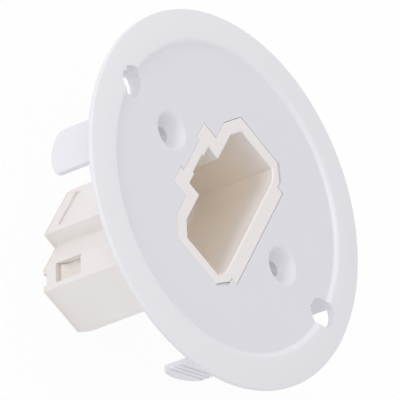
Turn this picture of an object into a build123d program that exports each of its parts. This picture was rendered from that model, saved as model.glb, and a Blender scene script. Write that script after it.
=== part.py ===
"""Ceiling outlet cover: a round plate on four spring legs with a keyed lamp socket through it.

The rim of the plate meets the ceiling at Z = 0. The face looks along +Z, and the socket box
and the legs reach back into the ceiling box along -Z. The key of the socket points along +Y.
"""

import os
from math import cos, hypot, radians, sin, sqrt

from build123d import *

# Cover plate
cover_dia = 85.0
edge_height = 1.1
edge_round = 0.35
recess_dia = 70.5
recess_draft = 0.8
recess_lip_share = 1.6
recess_root_share = 1.0
face_height = 1.0
ring_rise = 0.75
ring_crown = 0.15
face_thick = 1.6

# Locating collar and the spring legs that grip the ceiling box
clip_dia = 72.5
collar_thick = 1.7
collar_depth = 4.0
leg_thick = 1.2
leg_width = 10.7
leg_reach = 17.1
leg_arch = 1.9
leg_tip_round = 2.2
leg_edge_round = 0.3
leg_angle = 34.1
leg_spread = 79.5
tooth_count = 3
tooth_pitch = 1.6
tooth_rise = 0.18

# Holes of the cover plate
screw_spacing = 40.3
screw_dia = 3.4
screw_head_dia = 8.6
screw_head_angle = 82.0
screw_lip_round = 0.9
screw_boss_wall = 1.2
screw_boss_depth = 5.0
pass_spacing = 69.2
pass_dia = 6.8
pass_boss_wall = 1.2
pass_boss_depth = 2.0

# Plug bay: a flat six-sided opening with a square key above it
bay_width = 35.4
bay_top = 6.5
bay_bottom = -8.25
bay_slope_run = 3.5
bay_slope_drop = 2.15
bay_corner_run = 1.9
bay_corner_rise = 1.55
bay_corner_round = 5.2
key_width = 12.2
key_rise = 3.55
key_groove_width = 6.0
key_groove_depth = 0.5
bay_depth = 22.8
mouth_chamfer = 0.3

# Rim of the socket, measured outward from the plug bay
rim_thick = 1.6
rim_side = 2.6
rim_top = 2.95
rim_slope_run = 5.4
rim_slope_drop = 3.05
rim_key_side = 3.6
rim_key_top = 3.4
rim_notch_width = 9.9
rim_notch_depth = 1.05
rim_bottom = 3.75
rim_foot_width = 30.2
rim_foot_step = 1.85
rim_corner_run = 4.0
rim_corner_rise = 3.0
rim_edge_round = 0.2
rim_gap = 0.08
pocket_corner_share = 0.75
pocket_corner_depth = 0.5

# Ledge behind the face that the rim sits on, and the noses that lock the socket behind it
ledge_thick = 1.6
ledge_wall = 1.4
nose_rise = 0.6
nose_length = 2.4
nose_width = 7.0
nose_gap = 0.1

# Socket box
box_wall = 1.4
box_edge_round = 0.35
floor_thick = 1.6
chamber_depth = 15.6

# Rear cover and its snaps
rear_thick = 1.2
rear_inset = 0.15
rear_edge_round = 0.2
window_length = 7.4
window_width = 4.6
window_shift = 0.6
window_from_rear = 2.7
window_pad = 0.7
window_pad_border = 0.6
arm_thick = 1.0
arm_gap = 0.1
arm_lap = 0.4
hook_gap = 0.15
hook_flat = 0.6
hook_ramp = 1.6
hook_below_wall = 1.3
notch_width = 2.8
notch_shift = 0.8
tongue_width = 8.6
tongue_reach = 3.5
panel_length = 11.2
panel_width = 1.8
panel_depth = 0.5
panel_from_rear = 2.3
wire_dia = 2.8
wire_lead_dia = 3.5
wire_lead_depth = 0.5
wire_pitch = 3.8

# Contacts and clamps
strip = 0.6
tail_width = 7.0
tail_clear = 1.5
tulip_height = 6.4
tulip_length = 6.0
tulip_root = 3.0
tulip_width = 3.4
tulip_pinch = 1.9
tulip_flare = 0.5
tulip_lip = 1.2
seat_gap = 0.1
pin_slot_width = 1.8
pin_slot_height = 5.0
shelf_rise = 2.75
shelf_rib = 1.0
shelf_rib_pitch = 4.6
rib_clear = 1.5
partition = 1.2
partition_gap = 0.3
clamp_strip = 0.4
clamp_width = 5.6
clamp_bend = 1.2
clamp_clear = 0.4
clamp_rake = 4.2
clamp_touch = 0.05
clamp_slit = 0.5

# Radii and levels that follow from the sizes above
cover_radius = cover_dia / 2
recess_radius = recess_dia / 2
clip_radius = clip_dia / 2
face_back = face_height - face_thick
ledge_back = face_back - ledge_thick
floor_front = face_height - bay_depth
floor_back = floor_front - floor_thick
body_rear = floor_back - chamber_depth
rear_end = body_rear - rear_thick
bay_half = bay_width / 2
key_top = bay_top + key_rise
groove_top = key_top + key_groove_depth
window_rear = body_rear + window_from_rear
tongue_tip = body_rear + tongue_reach

# Poles side by side, with a partition between neighbours
partition_at = tail_width / 2 + partition_gap + partition / 2
pole_pitch = 2 * partition_at
shelf = bay_bottom + shelf_rise
poles = {
    "line": (-pole_pitch, shelf, bay_top),
    "earth": (0, shelf + key_rise, key_top),
    "neutral": (pole_pitch, shelf, bay_top),
}
pin_middle = strip + (tulip_height - strip) / 2

# Sloped walls between the shoulder and the sides, and the planes of their snap windows
slope_length = hypot(bay_slope_run, bay_slope_drop)
slope_out = (bay_slope_drop / slope_length, bay_slope_run / slope_length, 0)
slope_along = (bay_slope_run / slope_length, -bay_slope_drop / slope_length, 0)
snap_along = slope_length / 2 - window_shift
snap_x = bay_half - bay_slope_run + snap_along * slope_along[0]
snap_y = bay_top + snap_along * slope_along[1]
snap_planes = [
    Plane(
        origin=(side * snap_x, snap_y, 0),
        x_dir=(side * slope_out[0], slope_out[1], 0),
        z_dir=(slope_along[0], side * slope_along[1], 0),
    )
    for side in (1, -1)
]


def bay_outline(top, margin=0.0, edge_round=0.0):
    """Face of the plug bay with its key up to the given height, or the same grown outward by a margin.

    The lower corners of the bay itself are soft. The edge round softens the corners above the middle.
    """
    with BuildSketch() as outline:
        with BuildLine():
            Polyline(
                (0, top),
                (key_width / 2, top),
                (key_width / 2, bay_top),
                (bay_half - bay_slope_run, bay_top),
                (bay_half, bay_top - bay_slope_drop),
                (bay_half, bay_bottom + bay_corner_rise),
                (bay_half - bay_corner_run, bay_bottom),
                (0, bay_bottom),
            )
            mirror(about=Plane.YZ)
        make_face()
        if margin:
            offset(amount=margin, kind=Kind.INTERSECTION)
        else:
            low = outline.vertices().group_by(Axis.Y)[0].sort_by(Axis.X)
            fillet([low[0], low[-1]], bay_corner_round)
        if edge_round:
            upper = outline.vertices().filter_by(lambda corner: corner.Y > 0)
            fillet(upper.filter_by(lambda corner: abs(corner.X) > edge_round), edge_round)
    return outline.sketch


def rim_outline(margin=0.0, corner_share=1.0):
    """Face of the socket's rim with its notched key and its foot, grown outward by a margin.

    The corner share is the part of the lower corners' cut that is kept.
    """
    side = bay_half + rim_side
    shoulder = bay_top + rim_top
    key_side = key_width / 2 + rim_key_side
    crown = groove_top + rim_key_top
    foot = bay_bottom - rim_bottom
    corner_run = corner_share * rim_corner_run
    corner_rise = corner_share * rim_corner_rise
    with BuildSketch() as outline:
        with BuildLine():
            Polyline(
                (0, crown - rim_notch_depth),
                (rim_notch_width / 2, crown - rim_notch_depth),
                (rim_notch_width / 2, crown),
                (key_side, crown),
                (key_side, shoulder),
                (side - rim_slope_run, shoulder),
                (side, shoulder - rim_slope_drop),
                (side, foot + rim_foot_step + corner_rise),
                (side - corner_run, foot + rim_foot_step),
                (rim_foot_width / 2, foot + rim_foot_step),
                (rim_foot_width / 2, foot),
                (0, foot),
            )
            mirror(about=Plane.YZ)
        make_face()
        if margin:
            offset(amount=margin, kind=Kind.INTERSECTION)
    return outline.sketch


def leg_outline():
    """Face of a spring leg: straight sides and an arched end with round corners."""
    half = leg_width / 2
    spring = leg_arch - leg_reach
    with BuildSketch() as outline:
        with BuildLine():
            Polyline((half, spring), (half, face_back), (-half, face_back), (-half, spring))
            ThreePointArc((-half, spring), (0, -leg_reach), (half, spring))
        make_face()
        fillet(outline.vertices().group_by(Axis.Y)[0], leg_tip_round)
    return outline.sketch


def tooth_points(foot):
    """Corners of the saw teeth on a leg; the steep sides look at the plate."""
    points = [(foot - leg_thick / 2, leg_reach - leg_arch)]
    for tooth in range(tooth_count):
        level = leg_reach - leg_arch - tooth * tooth_pitch
        points.append((foot, level))
        points.append((foot + tooth_rise, level - tooth_pitch))
    points.append((foot - leg_thick / 2, leg_reach - leg_arch - tooth_count * tooth_pitch))
    return points


# Cover plate: a turned disc with a recessed face, a domed rim and a locating collar behind it
with BuildPart() as cover_plate:
    with BuildSketch(Plane.XZ) as plate_section:
        with BuildLine():
            Polyline(
                (recess_radius, face_height + ring_rise),
                (recess_radius - recess_draft, face_height),
                (0, face_height),
                (0, face_back),
                (clip_radius - collar_thick, face_back),
                (clip_radius - collar_thick, -collar_depth),
                (clip_radius, -collar_depth),
                (clip_radius, 0),
                (cover_radius, 0),
                (cover_radius, edge_height),
            )
            ThreePointArc(
                (cover_radius, edge_height),
                (
                    (cover_radius + recess_radius) / 2,
                    (edge_height + face_height + ring_rise) / 2 + ring_crown,
                ),
                (recess_radius, face_height + ring_rise),
            )
        make_face()
        fillet(plate_section.vertices().group_by(Axis.X)[-1], min(edge_round, edge_height / 3))
        fillet(plate_section.vertices().sort_by(Axis.Y)[-1], recess_lip_share * ring_rise)
        root = plate_section.vertices().sort_by_distance((recess_radius - recess_draft, face_height))
        fillet(root[0], recess_root_share * ring_rise)
    revolve(axis=Axis.Z)

    # Frame behind the face that carries the rim of the socket
    with BuildSketch(Plane.XY.offset(face_back)):
        add(rim_outline(rim_gap + ledge_wall))
    extrude(amount=-ledge_thick)

    # Bosses behind the two countersunk screw holes
    with GridLocations(0, screw_spacing, 1, 2):
        with Locations((0, 0, face_back)):
            Cylinder(
                screw_head_dia / 2 + screw_boss_wall,
                screw_boss_depth,
                align=(Align.CENTER, Align.CENTER, Align.MAX),
            )

    # Countersunk screw holes with soft lips
    head_edge = screw_spacing / 2 + screw_head_dia / 2
    with Locations((0, screw_spacing / 2, face_height), (0, -screw_spacing / 2, face_height)):
        CounterSinkHole(screw_dia / 2, screw_head_dia / 2, counter_sink_angle=screw_head_angle)
    lips = [
        cover_plate.edges().filter_by(GeomType.CIRCLE).sort_by_distance((0, place, face_height))
        for place in (head_edge, -head_edge)
    ]
    fillet([lip[0] for lip in lips], screw_lip_round)

    # Spring legs in two opposite pairs, flat tongues with arched ends; one pair has gripping teeth
    leg_face = sqrt(clip_radius**2 - (leg_width / 2) ** 2)
    for turn, toothed in (
        (leg_angle, True),
        (leg_angle + leg_spread, False),
        (leg_angle + 180, True),
        (leg_angle + leg_spread + 180, False),
    ):
        outward = (cos(radians(turn)), sin(radians(turn)), 0)
        across = (-sin(radians(turn)), cos(radians(turn)), 0)
        leg_outer = Plane(origin=(0, 0, 0), x_dir=across, z_dir=outward).offset(leg_face)
        with BuildPart() as leg:
            with BuildSketch(leg_outer):
                add(leg_outline())
            extrude(amount=-leg_thick)
            fillet(leg.faces().sort_by(Axis((0, 0, 0), outward))[-1].edges(), leg_edge_round)
        if toothed:
            with BuildPart():
                with BuildSketch(Plane(origin=(0, 0, 0), x_dir=outward, z_dir=across)):
                    with BuildLine():
                        Polyline(*tooth_points(leg_face), close=True)
                    make_face()
                extrude(amount=leg_width / 2, both=True)
                with BuildSketch(leg_outer.offset(tooth_rise)):
                    add(leg_outline())
                extrude(amount=-tooth_rise - leg_thick, mode=Mode.INTERSECT)

    # Bosses behind the wider holes, kept within the collar
    for place in (pass_spacing / 2, -pass_spacing / 2):
        with BuildSketch(Plane.XY.offset(face_back)):
            with Locations((0, place)):
                Circle(pass_dia / 2 + pass_boss_wall)
            Circle(clip_radius, mode=Mode.INTERSECT)
        extrude(amount=-pass_boss_depth)

    # Aperture: a pocket for the rim, and a through opening for the box behind it
    with BuildSketch(Plane.XY.offset(face_height)):
        add(rim_outline(rim_gap))
    extrude(amount=-rim_thick, mode=Mode.SUBTRACT)
    with BuildSketch(Plane.XY.offset(face_height)):
        add(rim_outline(rim_gap, pocket_corner_share))
    extrude(amount=-pocket_corner_depth, mode=Mode.SUBTRACT)
    with BuildSketch(Plane.XY.offset(face_height)):
        add(bay_outline(groove_top, box_wall + rim_gap, box_edge_round))
    extrude(amount=ledge_back - face_height, mode=Mode.SUBTRACT)

    # Wider holes on the step of the rim
    with Locations((0, pass_spacing / 2, face_height), (0, -pass_spacing / 2, face_height)):
        Hole(pass_dia / 2)

# Socket body: one moulding with the rim, the plug bay, the contact floor and a terminal chamber
with BuildPart() as socket_body:
    with BuildSketch(Plane.XY.offset(face_height)):
        add(rim_outline())
    extrude(amount=-rim_thick)
    with BuildSketch(Plane.XY.offset(face_height)):
        add(bay_outline(groove_top, box_wall, box_edge_round))
    extrude(amount=body_rear - face_height)

    # Lock noses on both sides of the box, just behind the ledge of the plate
    nose_top = ledge_back - nose_gap
    with BuildSketch(Plane.XZ):
        with BuildLine():
            Polyline(
                (bay_half, nose_top),
                (bay_half + box_wall + nose_rise, nose_top),
                (bay_half + box_wall, nose_top - nose_length),
                (bay_half, nose_top - nose_length),
                close=True,
            )
        make_face()
        mirror(about=Plane.YZ)
    extrude(amount=nose_width / 2, both=True)

    # Plug bay from the front with its key groove, and the terminal chamber from the rear
    with BuildSketch(Plane.XY.offset(face_height)):
        add(bay_outline(key_top))
        with Locations((0, bay_top)):
            Rectangle(
                key_groove_width,
                groove_top - bay_top,
                align=(Align.CENTER, Align.MIN),
            )
    extrude(amount=-bay_depth, mode=Mode.SUBTRACT)
    with BuildSketch(Plane.XY.offset(body_rear)):
        add(bay_outline(key_top))
    extrude(amount=chamber_depth, mode=Mode.SUBTRACT)
    mouth = socket_body.faces().sort_by(Axis.Z)[-1].inner_wires()[0]
    chamfer(mouth.edges(), mouth_chamfer)
    fillet(socket_body.faces().sort_by(Axis.Z)[-1].outer_wire().edges(), rim_edge_round)

    # Partitions between the poles, and the ribs that carry the contacts
    with BuildSketch(Plane.XY.offset(floor_back)):
        for place in (-partition_at, partition_at):
            with Locations((place, bay_bottom)):
                Rectangle(partition, key_top - bay_bottom, align=(Align.CENTER, Align.MIN))
    extrude(amount=tongue_tip + partition_gap - floor_back)
    with BuildSketch(Plane.XY.offset(floor_back)):
        for place, seat, roof in poles.values():
            for step in (-shelf_rib_pitch / 2, shelf_rib_pitch / 2):
                with Locations((place + step, bay_bottom)):
                    Rectangle(shelf_rib, seat - bay_bottom, align=(Align.CENTER, Align.MIN))
    extrude(amount=rib_clear - chamber_depth)

    # Slots for the three flat pins of the plug
    with BuildSketch(Plane.XY.offset(floor_front)):
        for place, seat, roof in poles.values():
            with Locations((place, seat + pin_middle)):
                Rectangle(pin_slot_width, pin_slot_height)
    extrude(amount=-floor_thick, mode=Mode.SUBTRACT)

    # Snap windows through both sloped walls and the pads behind them
    for plane in snap_planes:
        with BuildSketch(plane):
            with Locations((-window_pad, window_rear + window_length / 2)):
                Rectangle(
                    window_pad + box_wall / 2,
                    window_length + 2 * window_pad_border,
                    align=(Align.MIN, Align.CENTER),
                )
        extrude(amount=window_width / 2 + window_pad_border, both=True)
        with BuildSketch(plane):
            with Locations((-2 * window_pad, window_rear)):
                Rectangle(2 * window_pad + 2 * box_wall, window_length, align=(Align.MIN, Align.MIN))
        extrude(amount=window_width / 2, both=True, mode=Mode.SUBTRACT)

    # Sunk panel in the wall above the key
    with BuildSketch(Plane.XZ.offset(-groove_top - box_wall)):
        with Locations((0, body_rear + panel_from_rear)):
            Rectangle(panel_length, panel_width, align=(Align.CENTER, Align.MIN))
    extrude(amount=panel_depth, mode=Mode.SUBTRACT)

# Rear cover: closes the terminal chamber, snaps into the windows and lets the wires in
with BuildPart() as rear_cover:
    with BuildSketch(Plane.XY.offset(body_rear)):
        add(bay_outline(groove_top, box_wall - rear_inset, box_edge_round))
    extrude(amount=-rear_thick)
    fillet(rear_cover.faces().sort_by(Axis.Z)[0].outer_wire().edges(), rear_edge_round)

    # Side arms behind the windows, each with a hook that catches the rear edge of its window
    arm_top = -window_pad - arm_gap
    hook_rear = window_rear + hook_gap
    hook_out = box_wall - hook_below_wall
    arm_end = window_rear + window_length + arm_lap
    with BuildSketch(snap_planes[0]):
        with Locations((arm_top, body_rear)):
            Rectangle(arm_thick, arm_end - body_rear, align=(Align.MAX, Align.MIN))
    extrude(amount=window_width / 2 + arm_lap, both=True)
    with BuildSketch(snap_planes[0]):
        with BuildLine():
            Polyline(
                (arm_top, hook_rear),
                (hook_out, hook_rear),
                (hook_out, hook_rear + hook_flat),
                (arm_top, hook_rear + hook_flat + hook_ramp),
                close=True,
            )
        make_face()
    extrude(amount=window_width / 2 - hook_gap, both=True)
    mirror(about=Plane.YZ)

    # Notches in the edge at the sloped walls, to lift the cover with a blade
    for plane, shift in zip(snap_planes, (notch_shift, -notch_shift)):
        with BuildSketch(plane.offset(shift)):
            with Locations((0, rear_end)):
                Rectangle(2 * box_wall, rear_thick, align=(Align.MIN, Align.MIN))
        extrude(amount=notch_width / 2, both=True, mode=Mode.SUBTRACT)

    # Locating tongue under the roof of the key
    with BuildSketch(Plane.XY.offset(body_rear)):
        with Locations((0, key_top - arm_gap)):
            Rectangle(tongue_width, arm_thick, align=(Align.CENTER, Align.MAX))
    extrude(amount=tongue_reach)

    # Two wire entries for each pole, with a funnel on the outside
    for place, seat, roof in poles.values():
        wire_height = seat + strip + wire_dia / 2
        with Locations(Plane(origin=(place, wire_height, rear_end), z_dir=(0, 0, -1))):
            with GridLocations(wire_pitch, 0, 2, 1):
                CounterBoreHole(wire_dia / 2, wire_lead_dia / 2, wire_lead_depth)

# Contacts: brass strip folded into a sprung fork for the pin, with a flat tail for the wires
# Clamps: a bent steel leaf under the roof of each pole that presses the wires on the tail
metal_pieces = []
contact_top = floor_back - seat_gap
fork_root = contact_top - tulip_length
tail_end = body_rear + tail_clear
clamp_rear = tongue_tip + clamp_clear + clamp_strip
for pole, (place, seat, roof) in poles.items():
    with BuildPart() as contact:
        with BuildSketch(Plane.XZ.offset(-seat)):
            with BuildLine() as blade:
                Polyline(
                    (place + tulip_width / 2 - strip / 2, fork_root),
                    (place + tulip_width / 2 - strip / 2, fork_root + tulip_root),
                    (place + tulip_pinch / 2, contact_top - tulip_lip - strip),
                    (place + tulip_pinch / 2 + tulip_flare, contact_top - strip / 2),
                )
            trace(blade.edges(), line_width=strip)
            mirror(about=Plane.YZ.offset(place))
        extrude(amount=-tulip_height)
        with BuildSketch(Plane.XY.offset(fork_root)):
            with Locations((place, seat)):
                Rectangle(tulip_width, strip, align=(Align.CENTER, Align.MIN))
        extrude(amount=tulip_root)
        with BuildSketch(Plane.XY.offset(fork_root)):
            with Locations((place, seat)):
                Rectangle(tail_width, strip, align=(Align.CENTER, Align.MIN))
        extrude(amount=tail_end - fork_root)
    contact.part.label = pole + "_contact"
    metal_pieces.append(contact.part)

    with BuildPart() as clamp:
        leaf_top = roof - clamp_strip / 2
        leaf_tip = seat + strip + clamp_strip / 2 + clamp_touch
        with BuildSketch(Plane.YZ.offset(place)):
            with BuildLine() as bend:
                FilletPolyline(
                    (leaf_top, floor_back - seat_gap),
                    (leaf_top, clamp_rear),
                    (leaf_tip, clamp_rear + clamp_rake),
                    radius=clamp_bend,
                )
            trace(bend.edges(), line_width=clamp_strip)
        extrude(amount=clamp_width / 2, both=True)
        with BuildSketch(Plane.XZ.offset(-leaf_tip + clamp_strip)):
            with Locations((place, clamp_rear + clamp_rake + clamp_strip)):
                Rectangle(clamp_slit, clamp_rake / 2, align=(Align.CENTER, Align.MAX))
        extrude(amount=-(leaf_top - leaf_tip) / 2, mode=Mode.SUBTRACT)
    clamp.part.label = pole + "_clamp"
    metal_pieces.append(clamp.part)

cover_plate.part.label = "cover_plate"
socket_body.part.label = "socket_body"
rear_cover.part.label = "rear_cover"

os.makedirs("parts", exist_ok=True)
for piece in (cover_plate.part, socket_body.part, rear_cover.part, *metal_pieces):
    export_step(piece, "parts/" + piece.label + ".step")
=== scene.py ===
"""Ceiling outlet cover: a white plate on spring legs with a cream keyed lamp socket through it.

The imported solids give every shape. The sections follow the object as it is put together: the
contacts and clamps go into the socket, the rear cover closes it, and the plate takes the socket.
"""

import bpy
from mathutils import Matrix, Vector


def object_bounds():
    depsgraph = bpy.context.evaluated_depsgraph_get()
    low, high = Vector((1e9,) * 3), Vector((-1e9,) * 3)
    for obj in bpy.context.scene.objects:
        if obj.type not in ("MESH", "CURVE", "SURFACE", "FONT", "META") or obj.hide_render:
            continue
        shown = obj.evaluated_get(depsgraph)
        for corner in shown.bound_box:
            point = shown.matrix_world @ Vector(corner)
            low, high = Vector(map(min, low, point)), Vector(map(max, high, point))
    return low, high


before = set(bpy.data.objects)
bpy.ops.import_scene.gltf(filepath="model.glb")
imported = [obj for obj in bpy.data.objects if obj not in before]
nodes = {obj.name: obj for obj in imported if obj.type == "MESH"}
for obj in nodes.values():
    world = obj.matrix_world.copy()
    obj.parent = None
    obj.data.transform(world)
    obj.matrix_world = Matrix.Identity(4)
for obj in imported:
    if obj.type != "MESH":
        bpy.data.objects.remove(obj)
cad_low, cad_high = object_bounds()

# Contacts
# Three forks of brass strip, stamped and folded, that grip the flat pins of the plug. Each sits
# on ribs behind the contact floor, with a flat tail on which the wires are pressed.
MM = 0.001
POLES = ("line", "earth", "neutral")
BRASS_HEX = "C39A55"
BRASS_WORN_HEX = "A97F45"
BRASS_ROUGH = (0.22, 0.40)
BRASS_TARNISH_MM = 4.0
BRASS_TARNISH_DETAIL = 4.0
BRASS_LINE_MM = 0.35
BRASS_LINE_DETAIL = 2.0
BRASS_LINE_STRETCH = 25.0
BRASS_LINE_DEPTH_MM = 0.02
BRASS_LINE_STRENGTH = 0.25


def linear(code):
    """Linear colour of an sRGB hex code."""
    channels = [int(code[i:i + 2], 16) / 255 for i in (0, 2, 4)]
    return [c / 12.92 if c <= 0.04045 else ((c + 0.055) / 1.055) ** 2.4 for c in channels] + [1.0]


def add_node(tree, kind, settings=None, **inputs):
    """A node with its settings; an input is a value or the output socket that feeds it.

    An input is named as in Blender with _ for a space, or i and its number.
    """
    node = tree.nodes.new(kind)
    for name, value in (settings or {}).items():
        setattr(node, name, value)
    for name, value in inputs.items():
        numbered = name[1:].isdigit()
        socket = node.inputs[int(name[1:]) if numbered else name.replace("_", " ")]
        if isinstance(value, bpy.types.NodeSocket):
            tree.links.new(value, socket)
        else:
            socket.default_value = value
    return node


def new_finish(name):
    """An empty material: the material, its tree, its shader and the place on the piece in metres."""
    finish = bpy.data.materials.new(name)
    finish.use_nodes = True
    tree = finish.node_tree
    place = tree.nodes.new("ShaderNodeTexCoord").outputs["Object"]
    return finish, tree, tree.nodes["Principled BSDF"], place


def lay_surface(tree, shader, patches, relief, colours, rough, strength, depth_mm):
    """Give the shader two tones and two levels of gloss in patches, and a fine relief.

    The socket with the tone is returned.
    """
    tone = add_node(tree, "ShaderNodeMix", {"data_type": "RGBA"}, i0=patches,
                    i6=linear(colours[0]), i7=linear(colours[1]))
    dull = add_node(tree, "ShaderNodeMapRange", Value=patches, To_Min=rough[0], To_Max=rough[1])
    bump = add_node(tree, "ShaderNodeBump", Height=relief, Strength=strength, Distance=depth_mm * MM)
    tree.links.new(tone.outputs[2], shader.inputs["Base Color"])
    tree.links.new(dull.outputs[0], shader.inputs["Roughness"])
    tree.links.new(bump.outputs[0], shader.inputs["Normal"])
    return tone.outputs[2]


def finish_node(name, finish):
    """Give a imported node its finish."""
    mesh = nodes[name].data
    mesh.materials.clear()
    mesh.materials.append(finish)


# Rolled brass: bright yellow metal with fine rolling lines and a slight brown tarnish in patches.
# Real rolling lines are about 0.05 mm apart; they are drawn coarser so that they can show.
brass, tree, shader, place = new_finish("rolled_brass")
tarnish = add_node(tree, "ShaderNodeTexNoise", Vector=place,
                   Scale=1 / (BRASS_TARNISH_MM * MM), Detail=BRASS_TARNISH_DETAIL)
along = add_node(tree, "ShaderNodeMapping", Vector=place, Scale=(1.0, 1.0, 1 / BRASS_LINE_STRETCH))
lines = add_node(tree, "ShaderNodeTexNoise", Vector=along.outputs[0],
                 Scale=1 / (BRASS_LINE_MM * MM), Detail=BRASS_LINE_DETAIL)
lay_surface(tree, shader, patches=tarnish.outputs[0], relief=lines.outputs[0],
            colours=(BRASS_HEX, BRASS_WORN_HEX), rough=BRASS_ROUGH,
            strength=BRASS_LINE_STRENGTH, depth_mm=BRASS_LINE_DEPTH_MM)
shader.inputs["Metallic"].default_value = 1.0
for pole in POLES:
    finish_node(pole + "_contact", brass)

# Leaf clamps
# One bent leaf of hardened spring steel for each pole, under its roof. Its raked end is slit in
# two, and each half presses a stripped wire on the brass tail.
STEEL_HEX = "A9ABAE"
STEEL_DARK_HEX = "8C8E92"
STEEL_ROUGH = (0.28, 0.42)
STEEL_GRAIN_MM = 0.3
STEEL_GRAIN_DETAIL = 3.0
STEEL_GRAIN_STRETCH = 17.0
STEEL_GRAIN_DEPTH_MM = 0.02
STEEL_GRAIN_STRENGTH = 0.2

# Hardened strip: grey metal with a drawn grain and a dull sheen. The real grain is finer than
# 0.1 mm; it is drawn coarser so that it can show.
steel, tree, shader, place = new_finish("hardened_spring_steel")
along = add_node(tree, "ShaderNodeMapping", Vector=place,
                 Scale=(1.0, 1 / STEEL_GRAIN_STRETCH, 1 / STEEL_GRAIN_STRETCH))
grain = add_node(tree, "ShaderNodeTexNoise", Vector=along.outputs[0],
                 Scale=1 / (STEEL_GRAIN_MM * MM), Detail=STEEL_GRAIN_DETAIL)
lay_surface(tree, shader, patches=grain.outputs[0], relief=grain.outputs[0],
            colours=(STEEL_HEX, STEEL_DARK_HEX), rough=STEEL_ROUGH,
            strength=STEEL_GRAIN_STRENGTH, depth_mm=STEEL_GRAIN_DEPTH_MM)
shader.inputs["Metallic"].default_value = 1.0
for pole in POLES:
    finish_node(pole + "_clamp", steel)

# Socket body
# One moulding of cream heat-proof plastic: the rim, the plug bay, the contact floor and the
# terminal chamber. It is pushed into the plate from the front and locks behind its ledge.
SOCKET_HEX = "F5F1EE"
SOCKET_SHADE_HEX = "F3EEEA"
SOCKET_ROUGH = (0.36, 0.44)
SOCKET_GRAIN_DEPTH_MM = 0.03
UREA_IOR = 1.55
BAY_GLOW_HEX = "FDF3E6"
BAY_GLOW_MM = 8.0
BAY_TURN_MM = 1.0
CLOUD_MM = 14.0
CLOUD_DETAIL = 3.0
GRAIN_MM = 0.45
GRAIN_DETAIL = 2.0
GRAIN_STRENGTH = 0.15


def moulded_plastic(name, colour, shade, rough, grain_depth_mm, ior):
    """Finish of a moulding: slow clouds of tone and gloss, and the fine grain of the mould.

    The grain of a real mould is about 0.1 mm wide; it is drawn coarser so that it can show.
    The material, its tree, its shader, the place on the piece and the tone are returned.
    """
    finish, tree, shader, place = new_finish(name)
    cloud = add_node(tree, "ShaderNodeTexNoise", Vector=place,
                     Scale=1 / (CLOUD_MM * MM), Detail=CLOUD_DETAIL)
    grain = add_node(tree, "ShaderNodeTexNoise", Vector=place,
                     Scale=1 / (GRAIN_MM * MM), Detail=GRAIN_DETAIL)
    tone = lay_surface(tree, shader, patches=cloud.outputs[0], relief=grain.outputs[0],
                       colours=(colour, shade), rough=rough,
                       strength=GRAIN_STRENGTH, depth_mm=grain_depth_mm)
    shader.inputs["IOR"].default_value = ior
    return finish, tree, shader, place, tone


# Cream urea moulding: satin and a little warm. On faces turned to the axis, the walls of the bay are
# painted warmer with depth: a painted glow that stands in for the light that comes through thin cream
# walls.
cream_urea, tree, shader, place, tone = moulded_plastic(
    "cream_moulded_urea", SOCKET_HEX, SOCKET_SHADE_HEX, SOCKET_ROUGH, SOCKET_GRAIN_DEPTH_MM, UREA_IOR)
facing = tree.nodes["Texture Coordinate"].outputs["Normal"]
across = add_node(tree, "ShaderNodeVectorMath", {"operation": "MULTIPLY"}, i0=place, i1=(1.0, 1.0, 0.0))
turned = add_node(tree, "ShaderNodeVectorMath", {"operation": "DOT_PRODUCT"},
                  i0=across.outputs[0], i1=facing)
inward = add_node(tree, "ShaderNodeMath", {"operation": "LESS_THAN"},
                  i0=turned.outputs["Value"], i1=-BAY_TURN_MM * MM)
height = add_node(tree, "ShaderNodeSeparateXYZ", Vector=place)
deep = add_node(tree, "ShaderNodeMapRange", Value=height.outputs["Z"],
                From_Min=0.0, From_Max=-BAY_GLOW_MM * MM)
# Painted glow: the bay colour is mixed in on faces turned to the axis, more with depth.
painted_glow = add_node(tree, "ShaderNodeMath", {"operation": "MULTIPLY"}, i0=inward.outputs[0], i1=deep.outputs[0])
glow_tone = add_node(tree, "ShaderNodeMix", {"data_type": "RGBA"}, i0=painted_glow.outputs[0],
                    i6=tone, i7=linear(BAY_GLOW_HEX))
tree.links.new(glow_tone.outputs[2], shader.inputs["Base Color"])
finish_node("socket_body", cream_urea)

# Rear cover
# A thin moulded lid over the terminal chamber. Two hooked arms snap into the windows of the box,
# a tongue goes under the roof of the key, and the wires come in through its round entries.
REAR_HEX = "F2EDE6"
REAR_SHADE_HEX = "EFE9E1"
REAR_ROUGH = (0.40, 0.50)
REAR_GRAIN_DEPTH_MM = 0.03
POLYAMIDE_IOR = 1.53

# Cream polyamide moulding: tougher than the box so that the arms can bend, and a little duller.
cream_polyamide = moulded_plastic(
    "cream_moulded_polyamide", REAR_HEX, REAR_SHADE_HEX, REAR_ROUGH, REAR_GRAIN_DEPTH_MM, POLYAMIDE_IOR)[0]
finish_node("rear_cover", cream_polyamide)

# Cover plate
# One moulding of cool white plastic: a round plate with a raised rim, spring legs that grip the
# ceiling box, two countersunk screw holes and two wider holes on the step of the rim.
PLATE_HEX = "E9E8EC"
PLATE_SHADE_HEX = "E6E5E9"
PLATE_ROUGH = (0.34, 0.44)
PLATE_GRAIN_DEPTH_MM = 0.02
POLYCARBONATE_IOR = 1.58
RIM_HEX = "EFEEF1"
RIM_FOOT_MM = 34.3
RIM_FULL_MM = 34.7
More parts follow.
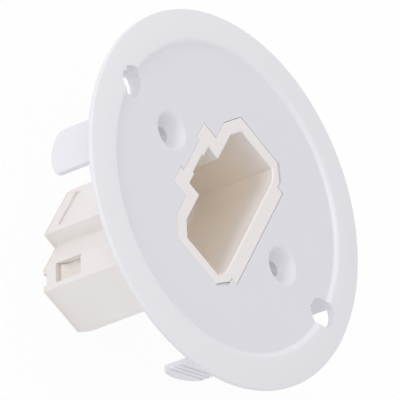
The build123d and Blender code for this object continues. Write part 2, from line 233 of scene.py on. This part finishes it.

# Cool white polycarbonate moulding: satin skin with a faint blue tone. The front of the raised
# rim and the slope of its lip are painted a little lighter than the face and the edge, only on faces turned
# to the front: on the lip this is a painted highlight that evens out its shade.
cool_white, tree, shader, place, tone = moulded_plastic(
    "cool_white_moulded_polycarbonate", PLATE_HEX, PLATE_SHADE_HEX, PLATE_ROUGH, PLATE_GRAIN_DEPTH_MM,
    POLYCARBONATE_IOR)
across = add_node(tree, "ShaderNodeVectorMath", {"operation": "MULTIPLY"}, i0=place, i1=(1.0, 1.0, 0.0))
radius = add_node(tree, "ShaderNodeVectorMath", {"operation": "LENGTH"}, i0=across.outputs[0])
on_rim = add_node(tree, "ShaderNodeMapRange", Value=radius.outputs["Value"],
                  From_Min=RIM_FOOT_MM * MM, From_Max=RIM_FULL_MM * MM)
facing = tree.nodes["Texture Coordinate"].outputs["Normal"]
front = add_node(tree, "ShaderNodeSeparateXYZ", Vector=facing)
# Painted lightening of the rim front and its lip, on faces turned to the front; on the lip a painted
# highlight.
rim_painted_light = add_node(tree, "ShaderNodeMath", {"operation": "MULTIPLY", "use_clamp": True},
                  i0=on_rim.outputs[0], i1=front.outputs["Z"])
rim_tone = add_node(tree, "ShaderNodeMix", {"data_type": "RGBA"}, i0=rim_painted_light.outputs[0],
                    i6=tone, i7=linear(RIM_HEX))
tree.links.new(rim_tone.outputs[2], shader.inputs["Base Color"])
finish_node("cover_plate", cool_white)

# Studio table
# A wide matt white table under the part, which isn't a piece of it. It lies a hair lower, so that
# it shares no plane with the rear cover.
TABLE_HALF_MM = 4000.0
TABLE_GAP_MM = 0.2
TABLE_HEX = "FFFFFF"
TABLE_ROUGH = 0.9
TABLE_WHITE_SHARE = 0.94
table_level = cad_low.z - TABLE_GAP_MM * MM
sides = [(-1, -1), (1, -1), (1, 1), (-1, 1)]
table_half = TABLE_HALF_MM * MM
corners = [(table_half * x, table_half * y, table_level) for x, y in sides]
table_mesh = bpy.data.meshes.new("studio_table")
table_mesh.from_pydata(corners, [], [(0, 1, 2, 3)])
table = bpy.data.objects.new("studio_table", table_mesh)
bpy.context.scene.collection.objects.link(table)


def seen_share(tree, share):
    """Socket with the share for rays of the camera, straight, mirrored or through glass, and else 0."""
    path = tree.nodes.new("ShaderNodeLightPath")
    gloss = add_node(tree, "ShaderNodeMath", {"operation": "MAXIMUM"},
                     i0=path.outputs["Is Camera Ray"], i1=path.outputs["Is Glossy Ray"])
    clear = add_node(tree, "ShaderNodeMath", {"operation": "MAXIMUM"},
                     i0=gloss.outputs[0], i1=path.outputs["Is Transmission Ray"])
    seen = add_node(tree, "ShaderNodeMath", {"operation": "MULTIPLY"}, i0=clear.outputs[0], i1=share)
    return seen.outputs[0]


# Matt white table: mostly its own white to the camera, the rest lit, so that it keeps a faint shadow.
table_white, tree, shader = new_finish("matt_white_table")[:3]
shader.inputs["Base Color"].default_value = linear(TABLE_HEX)
shader.inputs["Roughness"].default_value = TABLE_ROUGH
glow = add_node(tree, "ShaderNodeEmission", Strength=1.0)
mixed = add_node(tree, "ShaderNodeMixShader", i0=seen_share(tree, TABLE_WHITE_SHARE),
                 i1=shader.outputs[0], i2=glow.outputs[0])
tree.links.new(mixed.outputs[0], tree.nodes["Material Output"].inputs["Surface"])
table_mesh.materials.append(table_white)

# Light
# Soft white light from all round, a little stronger on the key side, with a lamp above and two
# low, wide ones: on the key side and on the camera's left. The camera sees a plain white room.
ROOM_HEX = "F7F7FA"
ROOM_DIM = 0.70
ROOM_BRIGHT = 0.86
ROOM_TOWARD = (-0.2, 0.95, -0.24)
BACKDROP_HEX = "FFFFFF"
BACKDROP_SHARE = 1.0
world = bpy.data.worlds.new("white_room")
bpy.context.scene.world = world
world.use_nodes = True
tree = world.node_tree
room = tree.nodes["Background"]
room.inputs["Color"].default_value = linear(ROOM_HEX)
toward = tree.nodes.new("ShaderNodeTexCoord").outputs["Generated"]
side = add_node(tree, "ShaderNodeVectorMath", {"operation": "DOT_PRODUCT"}, i0=toward, i1=ROOM_TOWARD)
level = add_node(tree, "ShaderNodeMapRange", Value=side.outputs["Value"], From_Min=-1.0, From_Max=1.0,
                 To_Min=ROOM_DIM, To_Max=ROOM_BRIGHT)
tree.links.new(level.outputs[0], room.inputs["Strength"])
backdrop = add_node(tree, "ShaderNodeBackground", Color=linear(BACKDROP_HEX), Strength=1.0)
mixed = add_node(tree, "ShaderNodeMixShader", i0=seen_share(tree, BACKDROP_SHARE),
                 i1=room.outputs[0], i2=backdrop.outputs[0])
tree.links.new(mixed.outputs[0], tree.nodes["World Output"].inputs["Surface"])


def soft_lamp(name, position, width, height, power):
    """A soft lamp that looks at the origin of the part; its place and size are in metres."""
    data = bpy.data.lights.new(name, "AREA")
    data.shape = "RECTANGLE"
    data.size = width
    data.size_y = height
    data.energy = power
    lamp = bpy.data.objects.new(name, data)
    lamp.location = position
    lamp.rotation_euler = (-Vector(position)).to_track_quat("-Z", "Y").to_euler()
    bpy.context.scene.collection.objects.link(lamp)


soft_lamp("lamp_above", position=(-0.15, 0.50, 0.85), width=0.5, height=0.5, power=1.3)
soft_lamp("key_side_strip", position=(-0.18, 0.97, 0.19), width=0.9, height=0.20, power=1.8)
soft_lamp("left_strip", position=(-0.97, -0.20, 0.06), width=0.9, height=0.18, power=0.55)

# Camera
# A long lens at the photograph's place: the plate leans back to the right and the box shows behind.
# Its directions and its place were fitted to the circles of the plate and to its holes.
LENS_MM = 514.05
SENSOR_MM = 36.0
CLIP_NEAR = 0.05
CLIP_FAR = 20.0
camera_right = Vector((0.3306, -0.5884, 0.7379))
camera_up = Vector((0.6386, 0.7152, 0.2841))
camera_back = Vector((-0.6949, 0.3773, 0.6122))
camera_place = Vector((-0.85045, 0.46381, 0.7439))
camera_data = bpy.data.cameras.new("photo_camera")
camera_data.lens = LENS_MM
camera_data.sensor_width = SENSOR_MM
camera_data.clip_start = CLIP_NEAR
camera_data.clip_end = CLIP_FAR
camera = bpy.data.objects.new("photo_camera", camera_data)
turn = Matrix((camera_right, camera_up, camera_back)).transposed()
camera.matrix_world = Matrix.LocRotScale(camera_place, turn.to_quaternion(), None)
bpy.context.scene.collection.objects.link(camera)
bpy.context.scene.camera = camera
bpy.context.scene.view_settings.view_transform = "Standard"
